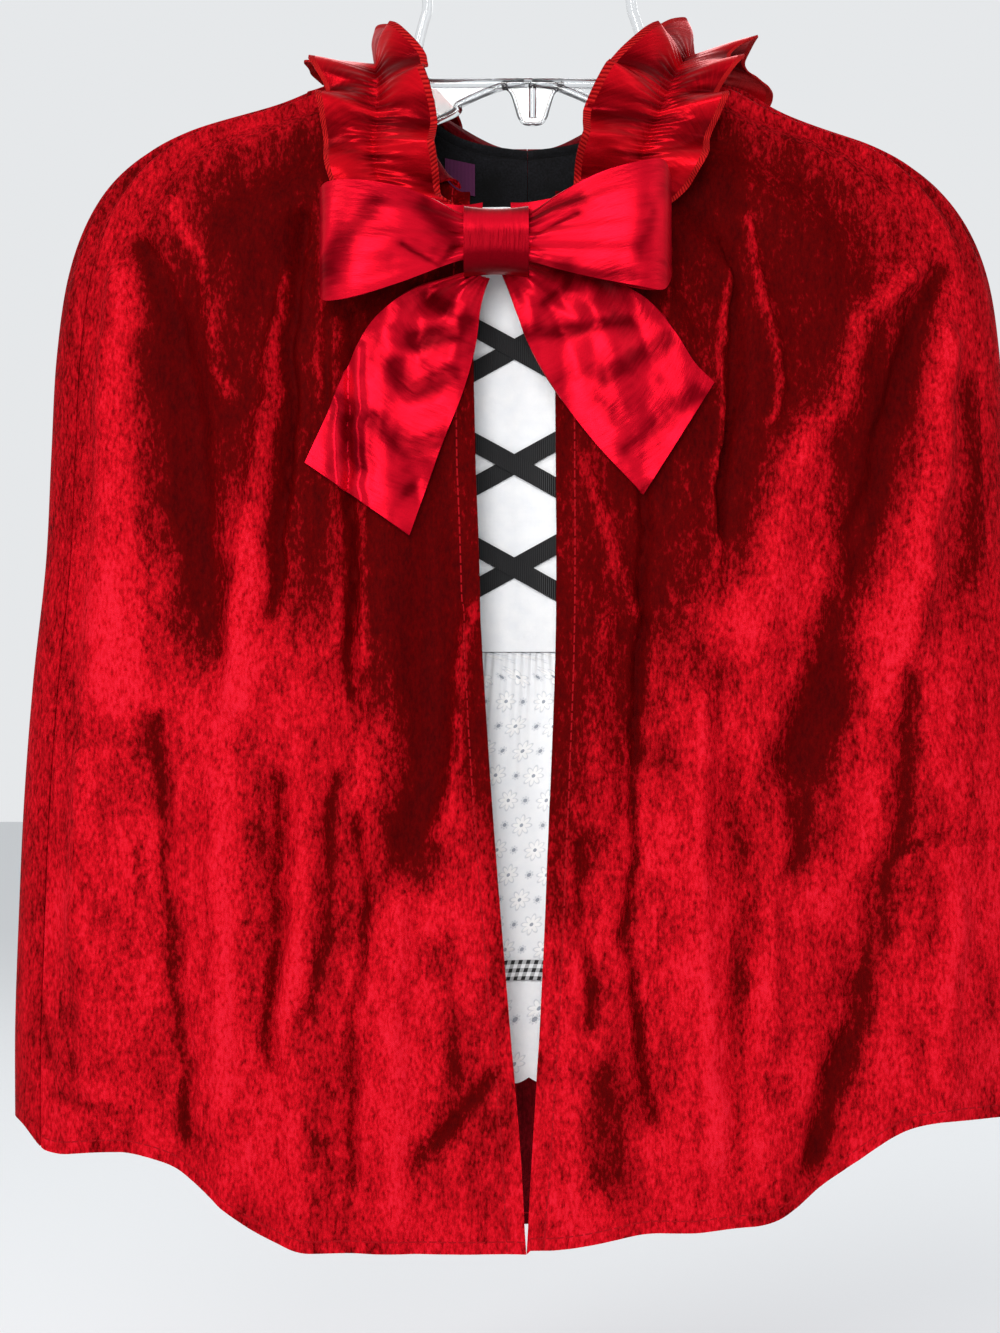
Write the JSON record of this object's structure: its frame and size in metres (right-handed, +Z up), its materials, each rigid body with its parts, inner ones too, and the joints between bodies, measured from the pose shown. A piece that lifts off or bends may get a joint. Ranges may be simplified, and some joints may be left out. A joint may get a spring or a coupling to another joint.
{
  "type": "red riding hood costume on a hanger",
  "caption": "Child's velvet cape with dropped hood, satin ruffle and bow over a sleeveless bodice dress with a white eyelet skirt, hung on a clear plastic hanger.",
  "frame": {"origin": "inside top of the hanger's hook, where it hangs on a rod", "axes": "+Z up, the front of the costume faces -Y, +X to the viewer's right"},
  "size_m": [0.5793, 0.2193, 0.7856],
  "materials": {
    "red_velvet": "crushed velvet pile",
    "red_satin": "satin",
    "black_velvet": "velvet pile",
    "white_cotton": "matt cotton with eyelet embroidery",
    "check_ribbon": "woven check",
    "black_ribbon": "ribbed grosgrain",
    "purple_label": "woven satin",
    "clear_plastic": "clear moulded polystyrene"
  },
  "bodies": {
    "root": {"cape_front_left": "red_velvet", "cape_front_right": "red_velvet", "cape_back": "red_velvet", "hood_left": "red_velvet", "hood_right": "red_velvet", "hood_ruffle_left": "red_satin", "hood_ruffle_right": "red_satin", "bow_knot": "red_satin", "bow_loop_left": "red_satin", "bow_loop_right": "red_satin", "bow_tail_left": "red_satin", "bow_tail_right": "red_satin", "dress_front_panel": "white_cotton", "dress_side_left": "black_velvet", "dress_side_right": "black_velvet", "dress_back_left": "black_velvet", "dress_back_right": "black_velvet", "skirt_front": "white_cotton", "skirt_back": "white_cotton", "gingham_front": "check_ribbon", "gingham_back": "check_ribbon", "hem_ruffle_front": "white_cotton", "hem_ruffle_back": "white_cotton", "lace_high_a": "black_ribbon", "lace_high_b": "black_ribbon", "lace_middle_a": "black_ribbon", "lace_middle_b": "black_ribbon", "lace_low_a": "black_ribbon", "lace_low_b": "black_ribbon", "neck_label": "purple_label", "hanger": "clear_plastic"}
  },
  "joints": []
}
